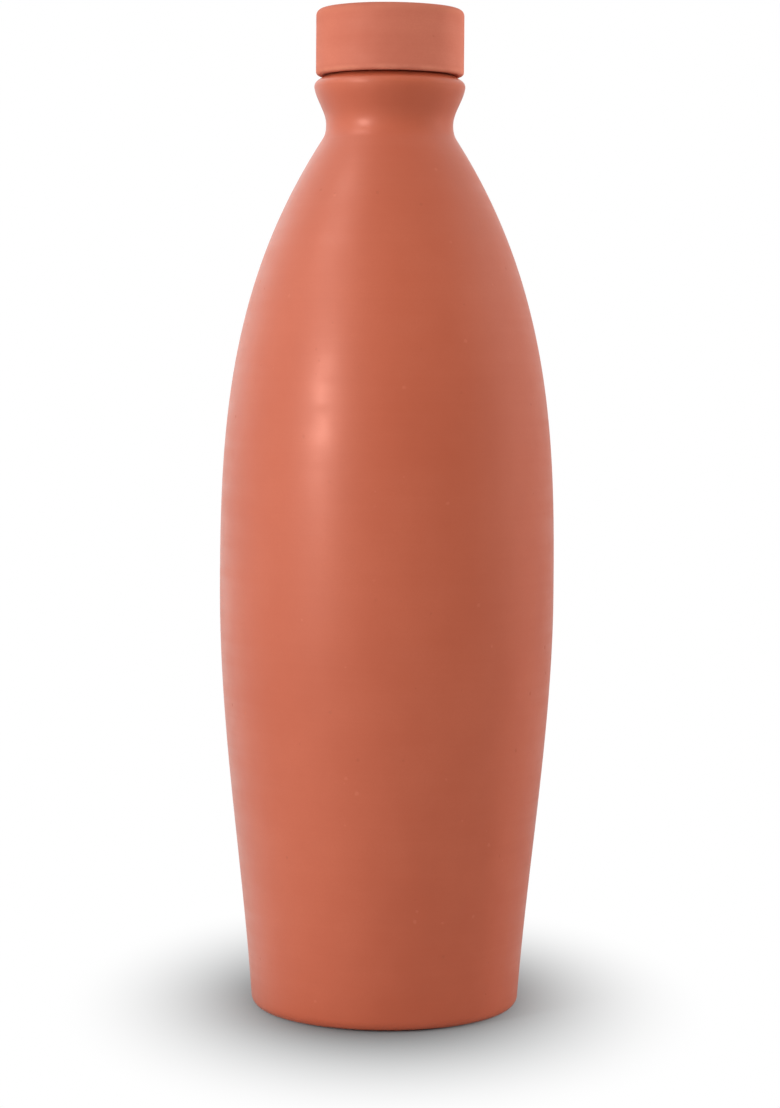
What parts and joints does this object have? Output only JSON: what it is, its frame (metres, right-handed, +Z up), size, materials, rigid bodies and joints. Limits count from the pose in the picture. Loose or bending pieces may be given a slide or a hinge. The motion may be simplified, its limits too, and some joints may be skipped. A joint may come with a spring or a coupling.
{
  "type": "clay water bottle",
  "caption": "Slender unglazed clay water bottle with a bellied body, narrow waisted neck and a push-in clay cap sealed by rubber rings.",
  "frame": {"origin": "on the bottle's axis, in the plane that the foot stands on", "axes": "+Z up along the bottle's axis, through the foot, the mouth and the cap"},
  "size_m": [0.096, 0.096, 0.2854],
  "materials": {
    "burnished_clay": "satin",
    "plain_clay": "matte",
    "red_rubber": "matte"
  },
  "bodies": {
    "bottle": {"bottle_body": "burnished_clay"},
    "seals": {"mouth_gasket": "red_rubber", "upper_seal_ring": "red_rubber", "lower_seal_ring": "red_rubber"},
    "cap": {"cap": "plain_clay"}
  },
  "joints": [
    {"name": "cap_lift", "type": "slide", "parent": "bottle", "child": "seals", "axis": [0, 0, 1], "range_m": [0, 0.06]},
    {"name": "cap_twist", "type": "hinge", "parent": "seals", "child": "cap", "pos_m": [0, 0, 0.2675], "axis": [0, 0, 1], "continuous": true}
  ]
}
